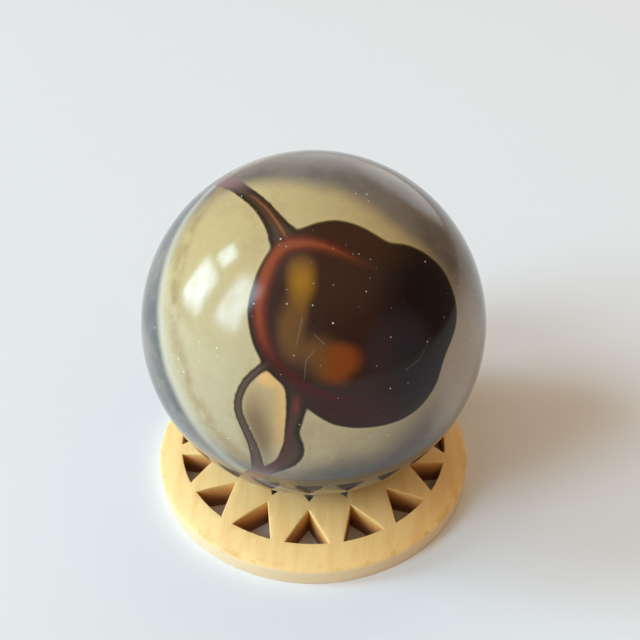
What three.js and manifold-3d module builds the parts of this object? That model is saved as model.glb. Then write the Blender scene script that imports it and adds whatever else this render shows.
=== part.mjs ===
// A polished stone sphere resting on a low pierced wooden ring stand.
// Millimetres, +Z up. The origin is the centre of the stand's underside, and
// one of the stand's triangular piercings is centred on -Y.

import * as THREE from 'three';
import { mergeVertices } from 'three/addons/utils/BufferGeometryUtils.js';
import Module from 'manifold-3d';

const wasm = await Module();
wasm.setup();

// The sphere.
const SPHERE_RADIUS = 27.5;
const SPHERE_SEGMENTS = 64;
const SPHERE_RINGS = 32;
const REST_GAP = 0.2; // clearance between the sphere and the petal points under it

// The stand's turned outline: a flat foot, a short upright edge, and a top that
// is nearly level in the middle and falls away towards the rim.
const STAND_RADIUS = 28.2;
const CROWN_HEIGHT = 5.6;
const RIM_HEIGHT = 2.85;
const CROWN_POWER = 5.5; // the higher it is, the flatter the middle
const EDGE_ROUND = 0.35; // radius along the rim's upper edge
const EDGE_SWEEP = THREE.MathUtils.degToRad(64); // where the round meets the crown
const EDGE_STEPS = 3;
const CROWN_STEPS = 7;
const STAND_SEGMENTS = 96;

// The piercings: one ring of triangles, apex inwards, and a star-shaped centre
// whose notches point at those apexes and leave a ring of pointed petals.
const PETALS = 16;
const HOLE_APEX_RADIUS = 18.05;
const HOLE_BASE_RADIUS = 23.95;
const HOLE_HALF_ANGLE = THREE.MathUtils.degToRad(8.3);
const HOLE_BASE_STEPS = 4;
const NOTCH_RADIUS = 16.35;
const PETAL_POINT_RADIUS = 12.5;
const CUT_MARGIN = 1; // how far a cutter stands proud of the stand, above and below

const PETAL_PITCH = (2 * Math.PI) / PETALS;
const FRONT = -Math.PI / 2; // the direction of -Y

// Height of the stand's top surface at a distance from its axis.
function crownHeight(radius) {
  const fall = CROWN_HEIGHT - RIM_HEIGHT;
  return CROWN_HEIGHT - fall * (radius / STAND_RADIUS) ** CROWN_POWER;
}

function polar(radius, angle) {
  return new THREE.Vector2(radius * Math.cos(angle), radius * Math.sin(angle));
}

// Turns a three.js geometry into a solid with its shared vertices merged.
function toSolid(geometry) {
  const bare = geometry.clone();
  bare.deleteAttribute('normal');
  bare.deleteAttribute('uv');
  const merged = mergeVertices(bare);
  const mesh = new wasm.Mesh({
    numProp: 3,
    vertProperties: new Float32Array(merged.attributes.position.array),
    triVerts: new Uint32Array(merged.index.array),
  });
  return new wasm.Manifold(mesh);
}

function toGeometry(solid) {
  const { vertProperties, triVerts } = solid.getMesh();
  const geometry = new THREE.BufferGeometry();
  geometry.setAttribute('position', new THREE.BufferAttribute(vertProperties, 3));
  geometry.setIndex(new THREE.BufferAttribute(triVerts, 1));
  geometry.computeVertexNormals();
  return geometry;
}

// The blank before it is pierced, turned about the Z axis.
function turnedBlank() {
  const profile = [new THREE.Vector2(0, 0), new THREE.Vector2(STAND_RADIUS, 0)];
  const edgeCentre = new THREE.Vector2(STAND_RADIUS - EDGE_ROUND, 0);
  const crownStart = edgeCentre.x + EDGE_ROUND * Math.cos(EDGE_SWEEP);
  edgeCentre.y = crownHeight(crownStart) - EDGE_ROUND * Math.sin(EDGE_SWEEP);
  for (let step = 0; step <= EDGE_STEPS; step += 1) {
    profile.push(edgeCentre.clone().add(polar(EDGE_ROUND, (EDGE_SWEEP * step) / EDGE_STEPS)));
  }
  for (let step = 1; step < CROWN_STEPS; step += 1) {
    // The rings lie closer together where the top falls away.
    const radius = crownStart * Math.sqrt(1 - step / CROWN_STEPS);
    profile.push(new THREE.Vector2(radius, crownHeight(radius)));
  }
  profile.push(new THREE.Vector2(0, CROWN_HEIGHT));
  const blank = new THREE.LatheGeometry(profile, STAND_SEGMENTS);
  blank.rotateX(Math.PI / 2); // the lathe's own axis is Y
  return toSolid(blank);
}

// A straight-sided cutter with the given outline, through the whole stand.
function cutter(outline) {
  const geometry = new THREE.ExtrudeGeometry(new THREE.Shape(outline), {
    depth: CROWN_HEIGHT + 2 * CUT_MARGIN,
    bevelEnabled: false,
  });
  geometry.translate(0, 0, -CUT_MARGIN);
  return toSolid(geometry);
}

function triangleOutline(middle) {
  const outline = [polar(HOLE_APEX_RADIUS, middle)];
  for (let step = 0; step <= HOLE_BASE_STEPS; step += 1) {
    const across = (2 * step) / HOLE_BASE_STEPS - 1;
    outline.push(polar(HOLE_BASE_RADIUS, middle + across * HOLE_HALF_ANGLE));
  }
  return outline;
}

function starOutline() {
  const outline = [];
  for (let petal = 0; petal < PETALS; petal += 1) {
    const middle = FRONT + petal * PETAL_PITCH;
    outline.push(polar(NOTCH_RADIUS, middle));
    outline.push(polar(PETAL_POINT_RADIUS, middle + PETAL_PITCH / 2));
  }
  return outline;
}

function woodenStand() {
  let stand = turnedBlank().subtract(cutter(starOutline()));
  for (let hole = 0; hole < PETALS; hole += 1) {
    stand = stand.subtract(cutter(triangleOutline(FRONT + hole * PETAL_PITCH)));
  }
  const wood = new THREE.MeshStandardMaterial({ color: 0xe0bf82, roughness: 0.6, metalness: 0 });
  const mesh = new THREE.Mesh(toGeometry(stand), wood);
  mesh.name = 'wooden_stand';
  return mesh;
}

// The sphere rests on the sixteen petal points, so their place sets its height.
function stoneSphere() {
  const reach = SPHERE_RADIUS + REST_GAP;
  const rise = Math.sqrt(reach ** 2 - PETAL_POINT_RADIUS ** 2);
  const geometry = new THREE.SphereGeometry(SPHERE_RADIUS, SPHERE_SEGMENTS, SPHERE_RINGS);
  geometry.rotateX(Math.PI / 2); // poles on Z
  const stone = new THREE.MeshStandardMaterial({ color: 0x8f8670, roughness: 0.12, metalness: 0 });
  const mesh = new THREE.Mesh(geometry, stone);
  mesh.name = 'stone_sphere';
  mesh.position.z = crownHeight(PETAL_POINT_RADIUS) + rise;
  return mesh;
}

const group = new THREE.Group();
group.add(woodenStand(), stoneSphere());

export default group;
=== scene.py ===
"""A polished stone sphere on a low pierced wooden ring stand.

Metres, +Z up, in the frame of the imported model. The pieces' lengths are written
in millimetres and turned into metres by mm(). The room's are in metres.
"""

from math import cos, hypot, pi, radians, sin, tan

import bmesh
import bpy
from mathutils import Matrix, Vector, noise


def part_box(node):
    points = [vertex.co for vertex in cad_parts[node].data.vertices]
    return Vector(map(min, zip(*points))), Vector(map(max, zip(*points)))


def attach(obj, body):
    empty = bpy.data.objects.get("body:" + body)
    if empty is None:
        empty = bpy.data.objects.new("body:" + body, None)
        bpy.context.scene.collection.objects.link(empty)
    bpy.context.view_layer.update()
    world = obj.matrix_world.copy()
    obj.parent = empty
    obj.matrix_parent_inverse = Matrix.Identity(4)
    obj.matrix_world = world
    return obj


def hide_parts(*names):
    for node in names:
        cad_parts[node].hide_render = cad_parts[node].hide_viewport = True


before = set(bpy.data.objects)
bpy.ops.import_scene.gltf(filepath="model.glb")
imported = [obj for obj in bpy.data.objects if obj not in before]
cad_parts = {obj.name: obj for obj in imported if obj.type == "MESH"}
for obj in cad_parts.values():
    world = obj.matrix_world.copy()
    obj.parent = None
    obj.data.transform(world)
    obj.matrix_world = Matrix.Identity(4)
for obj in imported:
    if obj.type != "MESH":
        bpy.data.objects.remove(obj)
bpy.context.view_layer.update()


def mm(length):
    return length / 1000


# ---------------------------------------------------------------- dimensions

BALL_LOW, BALL_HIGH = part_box("stone_sphere")
BALL_CENTRE = (BALL_LOW + BALL_HIGH) / 2
BALL_RADIUS = (BALL_HIGH.z - BALL_LOW.z) / 2
BALL_FINENESS = 7
POLISH_WAVE = mm(0.012)  # how far hand polishing leaves the ball from a true sphere
POLISH_WAVE_COUNT = 2.2  # waves in a ball radius

STAND_RADIUS = mm(28.2)
CROWN_HEIGHT = mm(5.6)
RIM_HEIGHT = mm(2.85)
CROWN_POWER = 5.5
PETALS = 16
HOLE_APEX_RADIUS = mm(18.05)
HOLE_BASE_RADIUS = mm(23.95)
HOLE_HALF_ANGLE = radians(8.3)
NOTCH_RADIUS = mm(16.35)
PETAL_POINT_RADIUS = mm(12.5)
HALF_PITCH = pi / PETALS
FRONT = -pi / 2
HOLE_ARC_STEPS = 4
RIM_ARC_STEPS = 8
SAWN_EDGE = mm(0.16)  # softening along the edges of the piercings
SAWN_EDGE_STEPS = 3
RIM_EDGE = mm(0.35)
RIM_EDGE_STEPS = 4
FOOT_EDGE = mm(0.12)
FOOT_EDGE_STEPS = 2
CORNER_ANGLE = radians(60)  # an edge at least this sharp is softened
SMOOTH_ANGLE = radians(40)  # and one at most this sharp is shaded smooth
NEAR_RIM = mm(1)
UPRIGHT_RISE = mm(1)  # an edge that rises more than this is an upright one
MIRROR_WELD = mm(0.001)
SPIN_WELD = mm(0.002)
CUT_WELD = mm(0.0001)
GRID = mm(1.3)  # spacing of the cuts that let the top follow the crown

# The direction, from the ball's centre, of the middle of the stone's chart.
CHART_AZIMUTH = radians(-87.56)
CHART_ELEVATION = radians(36.55)


# ---------------------------------------------------------------- finishes

class Recipe:
    """The nodes of one finish, written as a list of steps."""

    def __init__(self, tree):
        self.tree = tree

    def feed(self, socket, value):
        if isinstance(value, bpy.types.NodeSocket):
            self.tree.links.new(value, socket)
        else:
            socket.default_value = value

    def node(self, kind, feeds=None, **settings):
        made = self.tree.nodes.new(kind)
        for name, value in settings.items():
            setattr(made, name, value)
        for socket, value in (feeds or {}).items():
            self.feed(made.inputs[socket], value)
        return made

    def maths(self, operation, *values):
        feeds = dict(enumerate(values))
        return self.node("ShaderNodeMath", feeds, operation=operation).outputs[0]

    def product(self, first, *others):
        whole = first
        for other in others:
            whole = self.maths("MULTIPLY", whole, other)
        return whole

    def limited(self, value):
        """The value, kept between 0 and 1."""
        return self.maths("MINIMUM", self.maths("MAXIMUM", value, 0.0), 1.0)

    def vector(self, operation, *values):
        feeds = dict(enumerate(values))
        made = self.node("ShaderNodeVectorMath", feeds, operation=operation)
        gives_number = operation in ("LENGTH", "DISTANCE", "DOT_PRODUCT")
        return made.outputs["Value" if gives_number else "Vector"]

    def scaled(self, place, amount):
        feeds = {0: place, "Scale": amount}
        return self.node("ShaderNodeVectorMath", feeds, operation="SCALE").outputs["Vector"]

    def split(self, place):
        return self.node("ShaderNodeSeparateXYZ", {0: place}).outputs

    def fade(self, value, start, finish):
        """0 at start and 1 at finish, easing in and out."""
        low, high, first, last = start, finish, 0.0, 1.0
        if start > finish:
            low, high, first, last = finish, start, 1.0, 0.0
        feeds = {"Value": value, "From Min": low, "From Max": high, "To Min": first, "To Max": last}
        made = self.node("ShaderNodeMapRange", feeds, interpolation_type="SMOOTHSTEP", clamp=False)
        return made.outputs["Result"]

    def blend(self, amount, under, over, how="MIX"):
        feeds = {0: amount, 6: colour(under), 7: colour(over)}
        made = self.node("ShaderNodeMix", feeds, data_type="RGBA", blend_type=how)
        return made.outputs[2]

    def noise(self, place, size, detail=2.0, roughness=0.5):
        feeds = {"Vector": place, "Scale": 1 / size, "Detail": detail, "Roughness": roughness}
        return self.node("ShaderNodeTexNoise", feeds).outputs

    def ramp(self, value, *stops):
        """A colour that changes with value; each stop is (value, colour)."""
        made = self.node("ShaderNodeValToRGB", {"Fac": value})
        elements = made.color_ramp.elements
        while len(elements) < len(stops):
            elements.new(0.5)
        for element, (position, shade) in zip(elements, stops):
            element.position = position
            element.color = colour(shade)
        return made.outputs["Color"]


def colour(value):
    """A colour with its alpha; a socket is passed on as it is."""
    if isinstance(value, bpy.types.NodeSocket) or len(value) == 4:
        return value
    return (*value, 1.0)


def new_finish(name):
    finish = bpy.data.materials.new(name)
    finish.use_nodes = True
    tree = finish.node_tree
    tree.nodes.clear()
    recipe = Recipe(tree)
    shader = recipe.node("ShaderNodeBsdfPrincipled")
    output = recipe.node("ShaderNodeOutputMaterial")
    tree.links.new(shader.outputs["BSDF"], output.inputs["Surface"])
    return finish, recipe, shader


# ------------------------------------------------- shapes drawn in the stone
#
# The pattern is drawn on a flat chart of the ball: the chart's middle is on the
# side with the dark patch, one unit is a ball radius there, and circles on the
# ball stay circles. Each shape is a distance, negative inside the shape.

VEIN_JOIN = 0.008  # how softly the stretches of a vein run together
PATCH_JOIN = 0.10
BACK_JOIN = 0.12
DARK_JOIN = 0.035  # how softly the veins run into the patch
CHART_LIMIT = 0.05  # keeps the far pole of the chart finite


def vein_stretch_group():
    """Distance to a straight stretch of vein whose half width may change."""
    group = bpy.data.node_groups.new("vein_stretch", "ShaderNodeTree")
    for name in ("place", "start", "finish"):
        group.interface.new_socket(name=name, in_out="INPUT", socket_type="NodeSocketVector")
    for name in ("start_width", "finish_width"):
        group.interface.new_socket(name=name, in_out="INPUT", socket_type="NodeSocketFloat")
    group.interface.new_socket(name="distance", in_out="OUTPUT", socket_type="NodeSocketFloat")
    recipe = Recipe(group)
    given = recipe.node("NodeGroupInput").outputs
    along = recipe.vector("SUBTRACT", given["finish"], given["start"])
    here = recipe.vector("SUBTRACT", given["place"], given["start"])
    reach = recipe.vector("DOT_PRODUCT", here, along)
    length = recipe.vector("DOT_PRODUCT", along, along)
    share = recipe.limited(recipe.maths("DIVIDE", reach, length))
    off = recipe.vector("SUBTRACT", here, recipe.scaled(along, share))
    growth = recipe.maths("SUBTRACT", given["finish_width"], given["start_width"])
    width = recipe.maths("MULTIPLY_ADD", growth, share, given["start_width"])
    distance = recipe.maths("SUBTRACT", recipe.vector("LENGTH", off), width)
    result = recipe.node("NodeGroupOutput")
    group.links.new(distance, result.inputs["distance"])
    return group


def smooth_run(stations, between):
    """Adds stations along the smooth curve through the ones given."""
    ends = [stations[0], *stations, stations[-1]]
    run = []
    for before, start, finish, after in zip(ends, ends[1:], ends[2:], ends[3:]):
        for step in range(between):
            t = step / between
            run.append(tuple(
                b + 0.5 * t * (c - a + t * (2 * a - 5 * b + 4 * c - d + t * (3 * (b - c) + d - a)))
                for a, b, c, d in zip(before, start, finish, after)
            ))
    return [*run, stations[-1]]


def vein(recipe, group, place, stations, join=VEIN_JOIN, between=2):
    """A vein through stations of (across, up, half width) on the chart."""
    stations = smooth_run(stations, between)
    whole = None
    for (x0, y0, w0), (x1, y1, w1) in zip(stations[:-1], stations[1:]):
        feeds = {
            "place": place,
            "start": (x0, y0, 0),
            "finish": (x1, y1, 0),
            "start_width": w0,
            "finish_width": w1,
        }
        made = recipe.tree.nodes.new("ShaderNodeGroup")
        made.node_tree = group
        for socket, value in feeds.items():
            recipe.feed(made.inputs[socket], value)
        stretch = made.outputs["distance"]
        whole = stretch if whole is None else recipe.maths("SMOOTH_MIN", whole, stretch, join)
    return whole


def disc(recipe, place, across, up, radius):
    return recipe.maths("SUBTRACT", recipe.vector("DISTANCE", place, (across, up, 0)), radius)


def pool(recipe, place, discs, join):
    """Discs of (across, up, radius) run together into one patch."""
    whole = None
    for across, up, radius in discs:
        each = disc(recipe, place, across, up, radius)
        whole = each if whole is None else recipe.maths("SMOOTH_MIN", whole, each, join)
    return whole


def oval(recipe, place, across, up, half_width, half_height):
    """About the distance to an upright oval."""
    moved = recipe.vector("SUBTRACT", place, (across, up, 0))
    round_place = recipe.vector("MULTIPLY", moved, (1 / half_width, 1 / half_height, 1))
    reach = recipe.maths("SUBTRACT", recipe.vector("LENGTH", round_place), 1.0)
    return recipe.maths("MULTIPLY", reach, min(half_width, half_height))


def chart(recipe, place, towards=1.0):
    """Flattens a place on the unit ball, seen from +Z, or from -Z if towards is -1."""
    height = recipe.maths("MULTIPLY_ADD", recipe.split(place)["Z"], towards, 1.0)
    stretch = recipe.maths("DIVIDE", 2.0, recipe.maths("MAXIMUM", height, CHART_LIMIT))
    level = recipe.vector("MULTIPLY", place, (1, 1, 0))
    return recipe.scaled(level, stretch)


# colours of the stone
KHAKI_WARM = (0.47, 0.355, 0.165)
KHAKI_PALE = (0.46, 0.375, 0.215)
KHAKI_BROWN = (0.33, 0.225, 0.105)
SLATE = (0.115, 0.095, 0.077)
SLATE_MIST = (0.19, 0.158, 0.130)
# partly the stone's paler slate, partly painted reflection of the lit floor on the right
PALE_SLATE_AND_REFLECTION = (0.38, 0.32, 0.26)
# painted shade: the slate turns to this towards the ball's bottom
SLATE_PAINTED_SHADE = (0.062, 0.060, 0.055)
SLATE_BLUE = (0.085, 0.088, 0.082)
SHORE_GREEN = (0.50, 0.475, 0.37)
OLIVE_EDGE = (0.020, 0.011, 0.005)
OLIVE_GOLD = (0.16, 0.105, 0.018)
HALO = (0.66, 0.48, 0.22)
MAROON_BLACK = (0.0080, 0.0030, 0.0035)
MAROON_BROWN = (0.032, 0.011, 0.007)
UMBER = (0.034, 0.009, 0.004)
PURPLE_BROWN = (0.036, 0.007, 0.007)
RUST = (0.17, 0.024, 0.008)
RUST_BROWN = (0.15, 0.024, 0.008)
RUST_RED = (0.065, 0.005, 0.004)
RUST_BRIGHT = (0.27, 0.058, 0.016)
GOLD = (0.28, 0.120, 0.010)
GOLD_BROWN = (0.125, 0.052, 0.012)
ORANGE_OCHRE = (0.21, 0.046, 0.008)
VEIN_OLIVE = (0.058, 0.034, 0.016)
VEIN_MAROON = (0.076, 0.026, 0.020)
CRIMSON = (0.20, 0.018, 0.014)
VEIN_RED = (0.24, 0.070, 0.022)
MAUVE = (0.20, 0.115, 0.105)
PEACH = (0.68, 0.39, 0.14)
LOOP_SAND = (0.42, 0.28, 0.125)
LOOP_CORE = (0.090, 0.052, 0.034)
LOOP_BROWN = (0.18, 0.112, 0.055)
DUST = (0.80, 0.76, 0.68)
GRAIN_DARK = (0.97, 0.97, 0.97)
GRAIN_LIGHT = (1.03, 1.03, 1.03)

# discs of the two dark patches: (across, up, radius)
DARK_PATCH = [
    (0.105, 0.02, 0.405),
    (0.105, 0.12, 0.395),
    (0.48, 0.07, 0.35),
    (0.37, -0.20, 0.355),
    (0.25, -0.19, 0.355),
]
BACK_PATCH = [(-0.10, 0.16, 0.40), (0.22, -0.05, 0.34), (0.10, 0.42, 0.22)]

# Stations of the band and the veins: (across, up, half width). On the side that
# the chart faces, many were measured, rounded and then adjusted.
RUST_BAND = [
    (0.38, 0.23, 0.002),
    (0.15, 0.32, 0.014),
    (0.04, 0.37, 0.024),
    (-0.06, 0.39, 0.032),
    (-0.15, 0.37, 0.040),
    (-0.222, 0.28, 0.044),
    (-0.249, 0.14, 0.030),
    (-0.252, 0.00, 0.024),
    (-0.220, -0.115, 0.022),
    (-0.153, -0.205, 0.016),
    (-0.06, -0.285, 0.014),
    (0.08, -0.355, 0.008),
    (0.32, -0.37, 0.002),
]
UPPER_VEIN = [
    (-0.13, 0.40, 0.085),
    (-0.185, 0.49, 0.056),
    (-0.27, 0.62, 0.046),
    (-0.37, 0.73, 0.043),
    (-0.50, 0.87, 0.046),
    (-0.64, 1.04, 0.075),
    (-0.90, 1.35, 0.100),
    (-1.35, 2.0, 0.13),
    (-2.0, 3.0, 0.12),
    (-2.6, 4.6, 0.02),
]
LOWER_VEIN = [
    (-0.07, -0.30, 0.070),
    (-0.085, -0.42, 0.048),
    (-0.105, -0.56, 0.039),
    (-0.103, -0.65, 0.058),
    (-0.117, -0.72, 0.067),
    (-0.15, -0.80, 0.061),
    (-0.21, -0.87, 0.047),
    (-0.32, -0.97, 0.044),
    (-0.50, -1.15, 0.060),
    (-0.9, -1.9, 0.09),
    (-1.2, -3.2, 0.14),
]
UPPER_THREAD = [
    (-0.11, 0.385, 0.006),
    (-0.165, 0.485, 0.004),
    (-0.215, 0.565, 0.003),
    (-0.265, 0.63, 0.002),
    (-0.36, 0.73, 0.001),
]
LOWER_THREAD = [
    (-0.05, -0.27, 0.007),
    (-0.078, -0.36, 0.006),
    (-0.09, -0.46, 0.002),
]
LOWER_CORE = [
    (-0.080, -0.36, 0.010),
    (-0.108, -0.50, 0.010),
    (-0.130, -0.62, 0.014),
    (-0.158, -0.74, 0.018),
    (-0.22, -0.85, 0.024),
    (-0.32, -0.95, 0.045),
]
LOOP_VEIN = [
    (-0.20, -0.19, 0.020),
    (-0.250, -0.22, 0.020),
    (-0.325, -0.29, 0.021),
    (-0.376, -0.38, 0.022),
    (-0.390, -0.46, 0.024),
    (-0.372, -0.56, 0.028),
    (-0.348, -0.67, 0.031),
    (-0.342, -0.80, 0.036),
    (-0.352, -0.97, 0.052),
]
SCRATCHES = [
    [(-0.055, 0.02, 0.003), (-0.07, -0.06, 0.002), (-0.085, -0.12, 0.001)],
    [(0.00, -0.055, 0.002), (0.05, -0.10, 0.003)],
    [(-0.045, -0.27, 0.002), (-0.038, -0.18, 0.003), (0.005, -0.125, 0.002)],
    [(0.47, -0.24, 0.003), (0.55, -0.19, 0.002), (0.615, -0.08, 0.002)],
]

# Noises of the stone: size in ball radii, detail, roughness.
WANDER = (0.45, 2.0)
RIPPLE = (0.11, 3.0)
CLOUDS = (0.42, 5.0, 0.62)
MOTTLE = (0.12, 4.0, 0.6)
GRAINS = (0.035, 3.0, 0.6)
DRIFTS = (0.28, 2.0)
SMEARS = (0.30, 4.0, 0.65)
MID_GREY = (0.5, 0.5, 0.5)
SHIFT = 0.040  # how far WANDER moves the whole pattern
SHAKE = 0.005  # and RIPPLE its edges
GOLD_STRAY = 0.16  # and WANDER the gold areas, on top of that

# Stains, and the pale side's painted reflection, are soft ovals: (across, up, half
# width, half height), the distances between which the colour comes in, its share, and the colour.
LOOP_STAINS = [
    ((-0.26, -0.44, 0.13, 0.24), (0.03, -0.05), 0.7, LOOP_SAND),
    ((-0.305, -0.60, 0.085, 0.22), (0.05, -0.06), 0.9, LOOP_BROWN),
]
# the right side: pale slate with painted reflection of the lit floor
PALE_SIDE_AND_REFLECTION = [((0.98, -0.24, 0.34, 0.52), (0.10, -0.20), 1.0, PALE_SLATE_AND_REFLECTION)]
GOLD_LINK = [((0.0, -0.13, 0.10, 0.06), (0.05, -0.05), 1.0, GOLD_BROWN)]
GOLD_STAINS = [
    ((-0.092, 0.00, 0.068, 0.16), (0.020, -0.040), 1.0, GOLD_BROWN),
    ((-0.068, 0.19, 0.054, 0.125), (0.025, -0.050), 1.0, GOLD),
]
ORANGE_OVAL = (0.112, -0.185, 0.135, 0.088)
ORANGE_EDGE = (0.022, -0.045)
ORANGE_TURN = (0.12, -0.01)  # across, from the orange to the gold
CROOK_OVAL = (-0.20, -0.27, 0.065, 0.05)
CROOK_EDGE = (0.025, -0.025)

# Where the ground changes.
KHAKI_TURN = (-0.35, 0.50)  # height, from the pale khaki to the warm
SMUDGE = (0.48, 0.72)
SMUDGE_SHARE = 0.5
KHAKI_SIDE = (-0.22, 0.02, 1.0)  # the khaki lies inside these two discs
KHAKI_TOP = (-0.45, -0.62, 1.5)
TOP_STEEPNESS = 2.2
RAGGEDNESS = 0.35
SLATE_CLOUDS = (0.35, 0.62)
SLATE_TURN = (-0.55, -1.0)  # height, from the slate to the slate darkened by painted shade towards the bottom
SLATE_EDGE = (-0.28, 0.16)
SHORE = (0.9, 0.2, 1.9)  # beyond this disc lies the far side
STREAK_DEPTH = 0.19
STREAK_WIDTH = 0.09
STREAK_BREAKS = (0.38, 0.60)
STREAK_SHARE = 0.8
LIP_EDGE = (-0.14, -0.02)
LIP_TURN = (0.3, -0.6)
LIP_SHARE = 0.6
FAR_CLOUDS = (0.42, 0.66)
FAR_EDGE = (-0.05, 0.05)

# The pale line round the dark shapes, and the peach beside the lower vein.
HALO_EDGE = (0.030, 0.006)
HALO_END = (0.0, -0.28)
HALO_SHARE = 0.16
BLUSH_EDGE = (0.085, 0.0)
BLUSH_SIDE = (-0.09, -0.14)
BLUSH_TOP = (-0.24, -0.31)
BLUSH_FOOT = (-0.80, -0.45)
BLUSH_SHARE = 0.85

# Edges inside the veins.
VEIN_EDGE = (-0.012, -0.048)
LOOP_EDGE = (0.002, -0.020)
CORE_EDGE = (0.014, -0.006)
FLUSH_EDGE = (0.035, 0.0)
FLUSH_SHARE = 0.5
THREAD_EDGE = (0.008, -0.004)
THREAD_BREAKS = (0.32, 0.5)
THREAD_TURN = (-0.1, 0.1)
MAUVE_ABOVE = (0.74, 0.98)
MAUVE_BELOW = (-0.84, -1.08)
MAUVE_REACH = (2.2, 1.3)

# Edges inside the dark patch.
BLACK_TURN = (0.20, 0.52)
UMBER_TURN = (0.24, 0.36)
PURPLE_TURN = (-0.36, -0.42)
RIGHT_TURN = (0.28, 0.58)
RIGHT_SHARE = 0.85
RUST_LOW_TURN = (0.00, -0.22)
RUST_HIGH_TURN = (0.16, 0.30)
RUST_THINS = (0.38, 0.02)
EMBER_EDGE = (0.030, -0.020)
EMBER_SHARE = 0.85
SPARK_EDGE = (0.0, -0.030)
SPARK_TURN = (-0.22, 0.10)
SPARK_SHARE = 0.7
PATCH_RIM = (-0.028, -0.004)
PATCH_RIM_SHARE = 0.75
GOLD_RIM = (-0.014, -0.002)
GOLD_RIM_TURN = (0.0, 0.4)
PATCH_EDGE = (0.035, -0.040)
DARK_EDGE = (0.007, -0.006)

# Edges of the patch behind.
BACK_EDGE = (0.03, 0.0)
BACK_INSIDE = (-0.01, -0.03)
BACK_MOTTLE = (0.35, 0.65)
BACK_RING_DEPTH = 0.10
BACK_RING_EDGE = (0.05, 0.0)

# Dust specks, scratches and shine.
SPECK_CELLS = 33.0  # in a ball radius
SPECK_DRIFTS = (0.35, 0.60)
SPECK_CROWDING = 0.46
SPECK_CHOICE = (0.99, 1.04)
SPECK_SMALLEST = 0.05
SPECK_SPREAD = 0.13
SPECK_CRISPNESS = 24.0
SPECK_STRENGTH = 0.8
SPECK_ROUGHNESS = 0.6
SCRATCH_JOIN = 0.002
SCRATCH_EDGE = (0.002, -0.002)
SCRATCH_STRENGTH = 0.07
POLISH_ROUGHNESS = 0.03
SMEAR_ROUGHNESS = 0.14
POLISH_IOR = 1.36
HAZE_WEIGHT = 0.06  # a second, hazier shine from fine handling marks
HAZE_ROUGHNESS = 0.30
HAZE_IOR = 1.30


class Pattern:
    """What the stone's colours are mixed by, at a place on the unit ball."""

    def __init__(self, recipe, ball_place, group):
        wander = recipe.noise(ball_place, *WANDER)["Color"]
        ripple = recipe.noise(ball_place, *RIPPLE)["Color"]
        self.wander = recipe.vector("SUBTRACT", wander, MID_GREY)
        shift = recipe.scaled(self.wander, SHIFT)
        shake = recipe.scaled(recipe.vector("SUBTRACT", ripple, MID_GREY), SHAKE)
        moved = recipe.vector("ADD", ball_place, recipe.vector("ADD", shift, shake))
        self.place = chart(recipe, moved)
        parts = recipe.split(self.place)
        self.across, self.up = parts["X"], parts["Y"]

        self.clouds = recipe.noise(ball_place, *CLOUDS)["Fac"]
        self.mottle = recipe.noise(ball_place, *MOTTLE)["Fac"]
        self.grains = recipe.noise(ball_place, *GRAINS)["Fac"]

        self.patch = pool(recipe, self.place, DARK_PATCH, PATCH_JOIN)
        self.behind = pool(recipe, chart(recipe, moved, towards=-1.0), BACK_PATCH, BACK_JOIN)
        upper = vein(recipe, group, self.place, UPPER_VEIN)
        self.lower = vein(recipe, group, self.place, LOWER_VEIN)
        self.loop = vein(recipe, group, self.place, LOOP_VEIN)
        self.band = vein(recipe, group, self.place, RUST_BAND)
        long_veins = recipe.maths("MINIMUM", upper, self.lower)
        self.veins = recipe.maths("MINIMUM", long_veins, self.loop)
        self.dark = recipe.maths("SMOOTH_MIN", self.patch, self.veins, DARK_JOIN)
        self.core = vein(recipe, group, self.place, LOWER_CORE)
        upper_thread = vein(recipe, group, self.place, UPPER_THREAD)
        lower_thread = vein(recipe, group, self.place, LOWER_THREAD)
        self.thread = recipe.maths("MINIMUM", upper_thread, lower_thread)

        away = disc(recipe, self.place, *KHAKI_SIDE)
        above = recipe.product(disc(recipe, self.place, *KHAKI_TOP), TOP_STEEPNESS)
        away = recipe.maths("MAXIMUM", away, above)
        tear = recipe.maths("SUBTRACT", self.clouds, 0.5)
        self.ragged = recipe.maths("MULTIPLY_ADD", tear, RAGGEDNESS, away)
        self.shore = disc(recipe, self.place, *SHORE)


def with_stains_and_painted_light(recipe, place, shade, ovals):
    for shape, edge, share, oval_colour in ovals:
        amount = recipe.fade(oval(recipe, place, *shape), *edge)
        shade = recipe.blend(recipe.product(amount, share), shade, oval_colour)
    return shade


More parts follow.
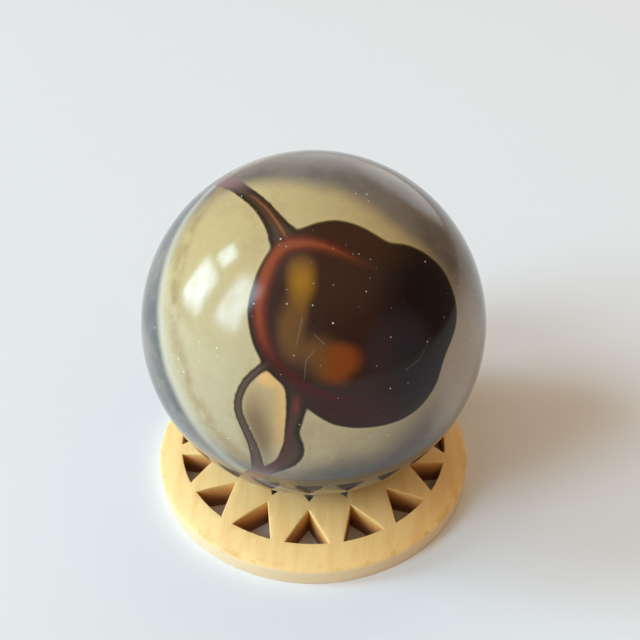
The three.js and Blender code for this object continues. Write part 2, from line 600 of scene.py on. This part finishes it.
def ground_colour(recipe, at):
    """Khaki on the patch's side, slate grey round and behind it; painted shade darkens the slate
    towards the bottom, and on the right the slate is paler, partly its own colour and partly
    painted reflection of the lit floor.
    """
    shade = recipe.blend(recipe.fade(at.up, *KHAKI_TURN), KHAKI_PALE, KHAKI_WARM)
    smudge = recipe.product(recipe.fade(at.clouds, *SMUDGE), SMUDGE_SHARE)
    shade = recipe.blend(smudge, shade, KHAKI_BROWN)
    shade = with_stains_and_painted_light(recipe, at.place, shade, LOOP_STAINS)

    slate_with_painted_light = recipe.blend(recipe.fade(at.clouds, *SLATE_CLOUDS), SLATE, SLATE_MIST)
    # painted shade: the slate darkens towards the bottom of the ball
    slate_with_painted_light = recipe.blend(recipe.fade(at.up, *SLATE_TURN), slate_with_painted_light, SLATE_PAINTED_SHADE)
    # paler on the right, partly the stone's own colour and partly painted reflection
    slate_with_painted_light = with_stains_and_painted_light(recipe, at.place, slate_with_painted_light, PALE_SIDE_AND_REFLECTION)
    shade = recipe.blend(recipe.fade(at.ragged, *SLATE_EDGE), shade, slate_with_painted_light)

    from_streak = recipe.maths("ABSOLUTE", recipe.maths("ADD", at.shore, STREAK_DEPTH))
    streak = recipe.fade(from_streak, STREAK_WIDTH, 0.0)
    streak = recipe.product(streak, recipe.fade(at.mottle, *STREAK_BREAKS), STREAK_SHARE)
    shade = recipe.blend(streak, shade, KHAKI_BROWN)
    lip = recipe.fade(at.shore, *LIP_EDGE)
    lip = recipe.product(lip, recipe.fade(at.across, *LIP_TURN), LIP_SHARE)
    shade = recipe.blend(lip, shade, SHORE_GREEN)
    far_side = recipe.blend(recipe.fade(at.clouds, *FAR_CLOUDS), SLATE_BLUE, SLATE_MIST)
    return recipe.blend(recipe.fade(at.shore, *FAR_EDGE), shade, far_side)


def outlined(recipe, at, shade):
    """A faint paler line round the dark shapes, peach beside the lower vein."""
    halo = recipe.fade(at.dark, *HALO_EDGE)
    halo = recipe.product(halo, recipe.fade(at.ragged, *HALO_END), HALO_SHARE)
    shade = recipe.blend(halo, shade, HALO)
    stretch = recipe.product(recipe.fade(at.up, *BLUSH_TOP), recipe.fade(at.up, *BLUSH_FOOT))
    blush = recipe.fade(at.lower, *BLUSH_EDGE)
    blush = recipe.product(blush, recipe.fade(at.across, *BLUSH_SIDE), stretch)
    crook = recipe.fade(oval(recipe, at.place, *CROOK_OVAL), *CROOK_EDGE)
    blush = recipe.product(recipe.maths("MAXIMUM", blush, crook), BLUSH_SHARE)
    return recipe.blend(blush, shade, PEACH)


def vein_colour(recipe, at):
    """Olive with dark edges, a maroon core below and a thread of red above."""
    shade = recipe.blend(recipe.fade(at.veins, *VEIN_EDGE), OLIVE_EDGE, VEIN_OLIVE)
    shade = recipe.blend(recipe.fade(at.loop, *LOOP_EDGE), shade, LOOP_CORE)
    shade = recipe.blend(recipe.fade(at.core, *CORE_EDGE), shade, VEIN_MAROON)
    flush = recipe.product(recipe.fade(at.thread, *FLUSH_EDGE), FLUSH_SHARE)
    shade = recipe.blend(flush, shade, VEIN_MAROON)
    bright = recipe.fade(at.thread, *THREAD_EDGE)
    bright = recipe.product(bright, recipe.fade(at.mottle, *THREAD_BREAKS))
    thread_shade = recipe.blend(recipe.fade(at.up, *THREAD_TURN), CRIMSON, VEIN_RED)
    shade = recipe.blend(bright, shade, thread_shade)
    above, below = recipe.fade(at.up, *MAUVE_ABOVE), recipe.fade(at.up, *MAUVE_BELOW)
    near = recipe.fade(recipe.vector("LENGTH", at.place), *MAUVE_REACH)
    faded_end = recipe.product(recipe.maths("MAXIMUM", above, below), near)
    return recipe.blend(faded_end, shade, MAUVE)


def patch_colour(recipe, at):
    """Umber above and left, black-maroon to the right, purplish below, with its rust band."""
    shade = recipe.blend(recipe.fade(at.across, *BLACK_TURN), MAROON_BROWN, MAROON_BLACK)
    shade = recipe.blend(recipe.fade(at.up, *UMBER_TURN), shade, UMBER)
    shade = recipe.blend(recipe.fade(at.up, *PURPLE_TURN), shade, PURPLE_BROWN)
    right = recipe.product(recipe.fade(at.across, *RIGHT_TURN), RIGHT_SHARE)
    shade = recipe.blend(right, shade, MAROON_BLACK)

    rust = recipe.blend(recipe.fade(at.up, *RUST_LOW_TURN), RUST, RUST_RED)
    rust = recipe.blend(recipe.fade(at.up, *RUST_HIGH_TURN), rust, RUST_BROWN)
    thin_out = recipe.fade(at.across, *RUST_THINS)
    ember = recipe.product(recipe.fade(at.band, *EMBER_EDGE), thin_out, EMBER_SHARE)
    shade = recipe.blend(ember, shade, rust)
    spark = recipe.product(recipe.fade(at.band, *SPARK_EDGE), recipe.fade(at.up, *SPARK_TURN))
    spark = recipe.product(spark, thin_out, SPARK_SHARE)
    shade = recipe.blend(spark, shade, RUST_BRIGHT)

    rim = recipe.product(recipe.fade(at.dark, *PATCH_RIM), PATCH_RIM_SHARE)
    shade = recipe.blend(rim, shade, OLIVE_EDGE)
    gold_rim = recipe.product(recipe.fade(at.dark, *GOLD_RIM), recipe.fade(at.up, *GOLD_RIM_TURN))
    return recipe.blend(gold_rim, shade, OLIVE_GOLD)


def gilded(recipe, at, shade):
    """The gold and orange areas inside the band."""
    loose = recipe.vector("ADD", at.place, recipe.scaled(at.wander, GOLD_STRAY))
    shade = with_stains_and_painted_light(recipe, at.place, shade, GOLD_LINK)
    shade = with_stains_and_painted_light(recipe, loose, shade, GOLD_STAINS)
    ochre = recipe.blend(recipe.fade(at.across, *ORANGE_TURN), ORANGE_OCHRE, GOLD_BROWN)
    orange = recipe.fade(oval(recipe, loose, *ORANGE_OVAL), *ORANGE_EDGE)
    return recipe.blend(orange, shade, ochre)


def with_back_patch(recipe, at, shade):
    """A plainer dark patch behind."""
    shade = recipe.blend(recipe.fade(at.behind, *BACK_EDGE), shade, OLIVE_EDGE)
    inner = recipe.blend(recipe.fade(at.mottle, *BACK_MOTTLE), MAROON_BROWN, MAROON_BLACK)
    ring = recipe.maths("ABSOLUTE", recipe.maths("ADD", at.behind, BACK_RING_DEPTH))
    inner = recipe.blend(recipe.fade(ring, *BACK_RING_EDGE), inner, RUST)
    return recipe.blend(recipe.fade(at.behind, *BACK_INSIDE), shade, inner)


def stone_colour(recipe, ball_place, group):
    """The stone's colour at a place on the unit ball."""
    at = Pattern(recipe, ball_place, group)
    ground = outlined(recipe, at, ground_colour(recipe, at))
    inner = gilded(recipe, at, patch_colour(recipe, at))
    dark = recipe.blend(recipe.fade(at.patch, *PATCH_EDGE), vein_colour(recipe, at), inner)
    shade = recipe.blend(recipe.fade(at.dark, *DARK_EDGE), ground, dark)
    shade = with_back_patch(recipe, at, shade)
    grain = recipe.ramp(at.grains, (0.30, GRAIN_DARK), (0.70, GRAIN_LIGHT))
    return recipe.blend(1.0, shade, grain, "MULTIPLY")


def dust_specks(recipe, ball_place):
    """Specks of dust on the polish, in drifts."""
    feeds = {"Vector": ball_place, "Scale": SPECK_CELLS}
    cells = recipe.node("ShaderNodeTexVoronoi", feeds, feature="F1").outputs
    pick = recipe.node("ShaderNodeSeparateColor", {0: cells["Color"]}).outputs
    drift = recipe.fade(recipe.noise(ball_place, *DRIFTS)["Fac"], *SPECK_DRIFTS)
    chance = recipe.maths("MULTIPLY_ADD", drift, SPECK_CROWDING, pick["Red"])
    chosen = recipe.fade(chance, *SPECK_CHOICE)
    size = recipe.maths("MULTIPLY_ADD", pick["Green"], SPECK_SPREAD, SPECK_SMALLEST)
    inside = recipe.maths("SUBTRACT", size, cells["Distance"])
    speck = recipe.limited(recipe.product(inside, SPECK_CRISPNESS))
    shown = recipe.product(pick["Blue"], SPECK_STRENGTH)
    return recipe.product(chosen, speck, shown)


def scratched(recipe, group, place, marks):
    """The marks, with a few fine scratches added."""
    for stations in SCRATCHES:
        scratch = vein(recipe, group, place, stations, SCRATCH_JOIN, between=1)
        scratch = recipe.product(recipe.fade(scratch, *SCRATCH_EDGE), SCRATCH_STRENGTH)
        marks = recipe.maths("MAXIMUM", marks, scratch)
    return marks


def polished_stone():
    finish, recipe, shader = new_finish("polished_stone")
    group = vein_stretch_group()
    objects = recipe.node("ShaderNodeTexCoord").outputs["Object"]
    turn = (pi / 2 - CHART_ELEVATION, 0, CHART_AZIMUTH + pi / 2)
    size = (BALL_RADIUS, BALL_RADIUS, BALL_RADIUS)
    feeds = {"Vector": objects, "Location": BALL_CENTRE, "Rotation": turn, "Scale": size}
    centred = recipe.node("ShaderNodeMapping", feeds, vector_type="TEXTURE").outputs[0]
    ball_place = recipe.vector("NORMALIZE", centred)

    specks = dust_specks(recipe, ball_place)
    marks = scratched(recipe, group, chart(recipe, ball_place), specks)
    shade = recipe.blend(marks, stone_colour(recipe, ball_place, group), DUST)
    recipe.feed(shader.inputs["Base Color"], shade)

    smears = recipe.noise(ball_place, *SMEARS)["Fac"]
    gloss = recipe.maths("MULTIPLY_ADD", smears, SMEAR_ROUGHNESS, POLISH_ROUGHNESS)
    gloss = recipe.maths("MAXIMUM", gloss, recipe.product(specks, SPECK_ROUGHNESS))
    recipe.feed(shader.inputs["Roughness"], gloss)
    shader.inputs["IOR"].default_value = POLISH_IOR
    shader.inputs["Coat Weight"].default_value = HAZE_WEIGHT
    shader.inputs["Coat Roughness"].default_value = HAZE_ROUGHNESS
    shader.inputs["Coat IOR"].default_value = HAZE_IOR
    return finish


# colours of the wood
TAN = (0.93, 0.60, 0.23)
TAN_DEEP = (0.88, 0.51, 0.17)
FIBRE = (0.96, 0.68, 0.32)
OCHRE = (0.66, 0.36, 0.06)
SIDE_GRAIN = (0.80, 0.59, 0.34)
SAWN = (0.85, 0.53, 0.17)
# painted shade: the piercings' walls darken to these two lower down
WALL_PAINTED_SHADE = (0.70, 0.33, 0.09)
WALL_PAINTED_DEEP_SHADE = (0.25, 0.095, 0.045)

# Grain of the wood: the scale along it, and the noises as on the stone.
BAND_STRETCH = (1.0, 0.05, 1.0)
FIBRE_STRETCH = (1.0, 0.14, 1.0)
BANDS = (mm(2.2), 3.0, 0.55)
FIBRES = (mm(0.20), 3.0, 0.7)
WOOD_CLOUDS = (mm(3.0), 4.0, 0.6)
BAND_CHANGE = (0.38, 0.72)
LIGHT_FIBRES = (0.52, 0.75)
LIGHT_FIBRE_SHARE = 0.6
DARK_FIBRES = (0.40, 0.22)
DARK_FIBRE_SHARE = 0.4
STEEPNESS = (0.75, 0.25)  # upward part of the normal, from the top to a wall
RIM_SIDE = (mm(27.6), mm(27.9))
HANDLED_RIM = (mm(26.9), mm(27.7))
HANDLED_SIDE = (0.5, 0.0)
HANDLED_CLOUDS = (0.50, 0.62)
HANDLED_SHARE = 0.55
PIERCED_REACH = (mm(24.8), mm(24.4))
SHADE_DEPTH = (mm(5.2), mm(3.6))
DEEP_SHADE_DEPTH = (mm(4.0), mm(0.8))
WOOD_ROUGHNESS = 0.45
FIBRE_ROUGHNESS = 0.25
BAND_RELIEF = 0.6
RELIEF_STRENGTH = 0.4
RELIEF_HEIGHT = mm(0.08)


def stretched(recipe, place, scale):
    return recipe.node("ShaderNodeMapping", {"Vector": place, "Scale": scale}).outputs[0]


def grain_colour(recipe, bands, fibres):
    shade = recipe.blend(recipe.fade(bands, *BAND_CHANGE), TAN, TAN_DEEP)
    light = recipe.product(recipe.fade(fibres, *LIGHT_FIBRES), LIGHT_FIBRE_SHARE)
    shade = recipe.blend(light, shade, FIBRE)
    dark = recipe.product(recipe.fade(fibres, *DARK_FIBRES), DARK_FIBRE_SHARE)
    return recipe.blend(dark, shade, OCHRE)


def with_sides(recipe, place, shade):
    """Adds the paler rim side, the handling marks above it and the sawn walls, with shade painted
    in deeper down.
    """
    reach = recipe.vector("LENGTH", recipe.vector("MULTIPLY", place, (1, 1, 0)))
    normal = recipe.node("ShaderNodeNewGeometry").outputs["Normal"]
    upright = recipe.maths("ABSOLUTE", recipe.split(normal)["Z"])
    steep = recipe.fade(upright, *STEEPNESS)
    side = recipe.product(steep, recipe.fade(reach, *RIM_SIDE))
    shade = recipe.blend(side, shade, SIDE_GRAIN)

    near_edge = recipe.product(recipe.fade(reach, *HANDLED_RIM), recipe.fade(side, *HANDLED_SIDE))
    cloud = recipe.noise(place, *WOOD_CLOUDS)["Fac"]
    marks = recipe.product(near_edge, recipe.fade(cloud, *HANDLED_CLOUDS), HANDLED_SHARE)
    shade = recipe.blend(marks, shade, OCHRE)

    # the sawn walls of the piercings are darker with depth: painted shade
    height = recipe.split(place)["Z"]
    wall = recipe.product(steep, recipe.fade(reach, *PIERCED_REACH))
    sawn = recipe.blend(recipe.fade(height, *SHADE_DEPTH), SAWN, WALL_PAINTED_SHADE)
    sawn = recipe.blend(recipe.fade(height, *DEEP_SHADE_DEPTH), sawn, WALL_PAINTED_DEEP_SHADE)
    return recipe.blend(wall, shade, sawn)


def pale_wood():
    finish, recipe, shader = new_finish("pale_wood")
    place = recipe.node("ShaderNodeTexCoord").outputs["Object"]
    bands = recipe.noise(stretched(recipe, place, BAND_STRETCH), *BANDS)["Fac"]
    fibres = recipe.noise(stretched(recipe, place, FIBRE_STRETCH), *FIBRES)["Fac"]
    shade = with_sides(recipe, place, grain_colour(recipe, bands, fibres))
    recipe.feed(shader.inputs["Base Color"], shade)

    roughness = recipe.maths("MULTIPLY_ADD", fibres, FIBRE_ROUGHNESS, WOOD_ROUGHNESS)
    recipe.feed(shader.inputs["Roughness"], roughness)
    relief = recipe.maths("ADD", fibres, recipe.product(bands, BAND_RELIEF))
    feeds = {"Strength": RELIEF_STRENGTH, "Distance": RELIEF_HEIGHT, "Height": relief}
    bump = recipe.node("ShaderNodeBump", feeds)
    recipe.feed(shader.inputs["Normal"], bump.outputs["Normal"])
    return finish


FLOOR_GREY = (0.76, 0.76, 0.76)
FLOOR_ROUGHNESS = 0.65


def plain_floor():
    finish, recipe, shader = new_finish("plain_floor")
    recipe.feed(shader.inputs["Base Color"], colour(FLOOR_GREY))
    recipe.feed(shader.inputs["Roughness"], FLOOR_ROUGHNESS)
    return finish


# ---------------------------------------------------------------- pieces

def piece_from(mesh_work, name, finish, sharp_angle=None):
    """Turns a bmesh into a smooth-shaded object with its finish."""
    mesh = bpy.data.meshes.new(name)
    mesh_work.to_mesh(mesh)
    mesh_work.free()
    mesh.shade_smooth()
    if sharp_angle is not None:
        mesh.set_sharp_from_angle(angle=sharp_angle)
    mesh.materials.append(finish)
    piece = bpy.data.objects.new(name, mesh)
    bpy.context.scene.collection.objects.link(piece)
    return piece


def polished_ball():
    """The ball, a hair's breadth off a true sphere where it was polished by hand."""
    ball = bmesh.new()
    bmesh.ops.create_icosphere(ball, subdivisions=BALL_FINENESS, radius=BALL_RADIUS)
    for vertex in ball.verts:
        direction = vertex.co.normalized()
        wave = 0.5 + 0.5 * noise.noise(direction * POLISH_WAVE_COUNT)
        vertex.co = direction * (BALL_RADIUS - POLISH_WAVE * wave)
    bmesh.ops.translate(ball, verts=ball.verts, vec=BALL_CENTRE)
    return piece_from(ball, "polished_ball", polished_stone())


def polar(radius, angle):
    return Vector((radius * cos(angle), radius * sin(angle), 0))


def arc(radius, start, finish, steps):
    return [polar(radius, start + (finish - start) * step / steps) for step in range(steps + 1)]


def everything(mesh_work):
    return mesh_work.verts[:] + mesh_work.edges[:] + mesh_work.faces[:]


def crown_drop(radius):
    """How far the stand's top lies below the crown's middle."""
    return (CROWN_HEIGHT - RIM_HEIGHT) * (radius / STAND_RADIUS) ** CROWN_POWER


def half_petal(stand):
    """One face: from the middle of a piercing to the middle of the petal beside it."""
    side = FRONT + HALF_PITCH
    outline = [polar(NOTCH_RADIUS, FRONT), polar(HOLE_APEX_RADIUS, FRONT)]
    outline += arc(HOLE_BASE_RADIUS, FRONT + HOLE_HALF_ANGLE, FRONT, HOLE_ARC_STEPS)
    outline += arc(STAND_RADIUS, FRONT, side, RIM_ARC_STEPS)
    outline.append(polar(PETAL_POINT_RADIUS, side))
    corners = [stand.verts.new(place) for place in outline]
    stand.faces.new(corners)


def pierced_stand():
    stand = bmesh.new()
    half_petal(stand)
    # the other half of the petal, then the petals all the way round
    across = Matrix.Rotation(FRONT, 4, "Z")
    bmesh.ops.mirror(stand, geom=everything(stand), matrix=across, merge_dist=MIRROR_WELD, axis="Y")
    bmesh.ops.spin(stand, geom=everything(stand), cent=(0, 0, 0), axis=(0, 0, 1), dvec=(0, 0, 0),
                   angle=2 * pi * (PETALS - 1) / PETALS, steps=PETALS - 1, use_duplicate=True)
    bmesh.ops.remove_doubles(stand, verts=stand.verts, dist=SPIN_WELD)
    bmesh.ops.recalc_face_normals(stand, faces=stand.faces)
    raised = bmesh.ops.extrude_face_region(stand, geom=stand.faces[:], use_keep_orig=True)["geom"]
    top = [item for item in raised if isinstance(item, bmesh.types.BMVert)]
    bmesh.ops.translate(stand, verts=top, vec=(0, 0, CROWN_HEIGHT))
    bmesh.ops.recalc_face_normals(stand, faces=stand.faces)
    soften(stand)
    bmesh.ops.triangulate(stand, faces=stand.faces)
    cut_in_strips(stand)
    for vertex in stand.verts:
        if vertex.co.z > CROWN_HEIGHT / 2:
            vertex.co.z -= crown_drop(hypot(vertex.co.x, vertex.co.y))
    return piece_from(stand, "pierced_stand", pale_wood(), SMOOTH_ANGLE)


def soften(stand):
    """Rounds the rim's upper edge, the edges of the piercings and the foot."""
    rim, sawn, foot = [], [], []
    for edge in stand.edges:
        if len(edge.link_faces) != 2 or edge.calc_face_angle() < CORNER_ANGLE:
            continue
        middle = (edge.verts[0].co + edge.verts[1].co) / 2
        if abs(edge.verts[0].co.z - edge.verts[1].co.z) > UPRIGHT_RISE:
            continue
        if middle.z < CROWN_HEIGHT / 2:
            foot.append(edge)
        elif hypot(middle.x, middle.y) > STAND_RADIUS - NEAR_RIM:
            rim.append(edge)
        else:
            sawn.append(edge)
    rounds = (
        (rim, RIM_EDGE, RIM_EDGE_STEPS),
        (sawn, SAWN_EDGE, SAWN_EDGE_STEPS),
        (foot, FOOT_EDGE, FOOT_EDGE_STEPS),
    )
    for edges, width, segments in rounds:
        alive = [edge for edge in edges if edge.is_valid]
        bmesh.ops.bevel(stand, geom=alive, offset=width, offset_type="OFFSET", segments=segments,
                        profile=0.5, affect="EDGES", clamp_overlap=True, material=-1)


def cut_in_strips(stand):
    """Cuts the stand along an even grid, so that its broad faces can bend."""
    count = int(STAND_RADIUS / GRID)
    for axis in (Vector((1, 0, 0)), Vector((0, 1, 0))):
        for step in range(-count, count + 1):
            bmesh.ops.bisect_plane(stand, geom=everything(stand), dist=CUT_WELD,
                                   plane_co=axis * (step * GRID), plane_no=axis)


# ---------------------------------------------------------------- studio

FLOOR_HALF_WIDTH = 4.0
PANE_DISTANCE = 4.0
DAYLIGHT = (0.54, 0.745, 0.91)

# Each pane: its azimuth, elevation, width and height as angles seen from the
# ball, its brightness, and its turn. Angles are in degrees.
WINDOWS = {
    "window_left": (180, 20, 24, 30, 16.8, 10),
    "window_high": (176, 41, 14, 14, 17.5, 12),
    "window_near": (-149, 32, 23, 40, 14.0, 0),
}
CURTAIN_EDGE = (0.50, 0.24)
FOLD_SIZE = 0.30
FOLD_DETAIL = 2.0
FOLD_CONTRAST = 2.2
FOLD_DIMMEST = 0.1

WALL_SHADE = (0.23, 0.16, 0.10)
CEILING_SHADE = (0.66, 0.45, 0.24)
CEILING_TURN = (0.45, 0.85)
BACKDROP_SHADE = (0.72, 0.73, 0.74)  # what the camera sees past the floor

# Glows of the room: azimuth, elevation, core and reach in degrees, and colour.
ROOM_GLOWS = [
    (90, 10, 10, 60, (0.52, 0.44, 0.36)),
    (78, 6, 8, 30, (1.1, 1.1, 1.08)),
    (66, 10, 6, 18, (1.7, 1.7, 1.65)),
    (-34, 7, 5, 28, (0.55, 0.51, 0.53)),
    (-118, 15, 10, 45, (0.7, 0.66, 0.6)),
    (-160, 68, 5, 28, (0.9, 0.85, 0.8)),
]

EYE_PLACE = (mm(4.05), mm(-95.02), mm(100.8))
EYE_HEADING = radians(1.85)
EYE_PITCH = radians(36.36)
EYE_ROLL = radians(0.52)
SENSOR_WIDTH = 36  # millimetres, as the lens
LENS = 40.67
NEAREST_SEEN = mm(5)


def floor():
    ground = bmesh.new()
    bmesh.ops.create_grid(ground, x_segments=1, y_segments=1, size=FLOOR_HALF_WIDTH)
    piece_from(ground, "floor", plain_floor())


def direction_of(azimuth, elevation):
    """The direction at these angles, in degrees."""
    around, above = radians(azimuth), radians(elevation)
    return Vector((cos(above) * cos(around), cos(above) * sin(around), sin(above)))


def pane(name, azimuth, elevation, width, height, brightness, turn):
    """A soft window pane."""
    direction = direction_of(azimuth, elevation)
    light = bpy.data.lights.new(name, "AREA")
    light.shape = "RECTANGLE"
    light.size = 2 * PANE_DISTANCE * tan(radians(width / 2))
    light.size_y = 2 * PANE_DISTANCE * tan(radians(height / 2))
    light.color = DAYLIGHT
    light.energy = brightness * light.size * light.size_y * pi
    curtain(light)
    lamp = bpy.data.objects.new(name, light)
    lamp.matrix_world = (
        Matrix.Translation(BALL_CENTRE + direction * PANE_DISTANCE)
        @ direction.to_track_quat("Z", "Y").to_matrix().to_4x4()
        @ Matrix.Rotation(radians(turn), 4, "Z")
    )
    lamp.visible_camera = False
    bpy.context.scene.collection.objects.link(lamp)


def curtain(light):
    """Softens the pane's edges, as a thin curtain does."""
    light.use_nodes = True
    tree = light.node_tree
    tree.nodes.clear()
    recipe = Recipe(tree)
    spot = recipe.node("ShaderNodeNewGeometry").outputs["Parametric"]
    parts = recipe.split(spot)
    strength = 1.0
    for side in (parts["X"], parts["Y"]):
        from_middle = recipe.maths("ABSOLUTE", recipe.maths("SUBTRACT", side, 0.5))
        strength = recipe.product(strength, recipe.fade(from_middle, *CURTAIN_EDGE))
    folds = recipe.noise(spot, FOLD_SIZE, FOLD_DETAIL)["Fac"]
    folds = recipe.maths("MULTIPLY_ADD", folds, FOLD_CONTRAST, FOLD_DIMMEST)
    strength = recipe.product(strength, folds)
    shine = recipe.node("ShaderNodeEmission", {"Strength": strength})
    output = recipe.node("ShaderNodeOutputLight")
    tree.links.new(shine.outputs[0], output.inputs["Surface"])


def lights():
    for name, angles in WINDOWS.items():
        pane(name, *angles)


def glow(recipe, direction, azimuth, elevation, core, reach):
    """1 within core degrees of a direction, fading to 0 at reach degrees."""
    nearness = recipe.vector("DOT_PRODUCT", direction, direction_of(azimuth, elevation))
    return recipe.fade(nearness, cos(radians(reach)), cos(radians(core)))


def room():
    """Warm dim light all round, with paler glows, and a plain backdrop for the camera."""
    world = bpy.data.worlds.new("room")
    bpy.context.scene.world = world
    world.use_nodes = True
    tree = world.node_tree
    tree.nodes.clear()
    recipe = Recipe(tree)
    direction = recipe.node("ShaderNodeTexCoord").outputs["Generated"]
    up = recipe.split(direction)["Z"]
    shade = recipe.blend(recipe.fade(up, *CEILING_TURN), WALL_SHADE, CEILING_SHADE)
    for *angles, glow_shade in ROOM_GLOWS:
        shade = recipe.blend(glow(recipe, direction, *angles), shade, glow_shade)
    seen = recipe.node("ShaderNodeLightPath").outputs["Is Camera Ray"]
    shade = recipe.blend(seen, shade, BACKDROP_SHADE)
    backdrop = recipe.node("ShaderNodeBackground", {"Color": shade, "Strength": 1.0})
    output = recipe.node("ShaderNodeOutputWorld")
    tree.links.new(backdrop.outputs[0], output.inputs["Surface"])


def camera():
    sight = bpy.data.cameras.new("camera")
    sight.sensor_width = SENSOR_WIDTH
    sight.lens = LENS
    sight.clip_start = NEAREST_SEEN
    eye = bpy.data.objects.new("camera", sight)
    turn = (
        Matrix.Rotation(EYE_HEADING, 4, "Z")
        @ Matrix.Rotation(pi / 2 - EYE_PITCH, 4, "X")
        @ Matrix.Rotation(EYE_ROLL, 4, "Z")
    )
    eye.matrix_world = Matrix.Translation(EYE_PLACE) @ turn
    bpy.context.scene.collection.objects.link(eye)
    bpy.context.scene.camera = eye


camera()
lights()
room()
floor()
bpy.context.scene.view_settings.view_transform = "Standard"

ball = polished_ball()
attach(ball, "root")
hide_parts("stone_sphere")

stand = pierced_stand()
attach(stand, "root")
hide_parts("wooden_stand")
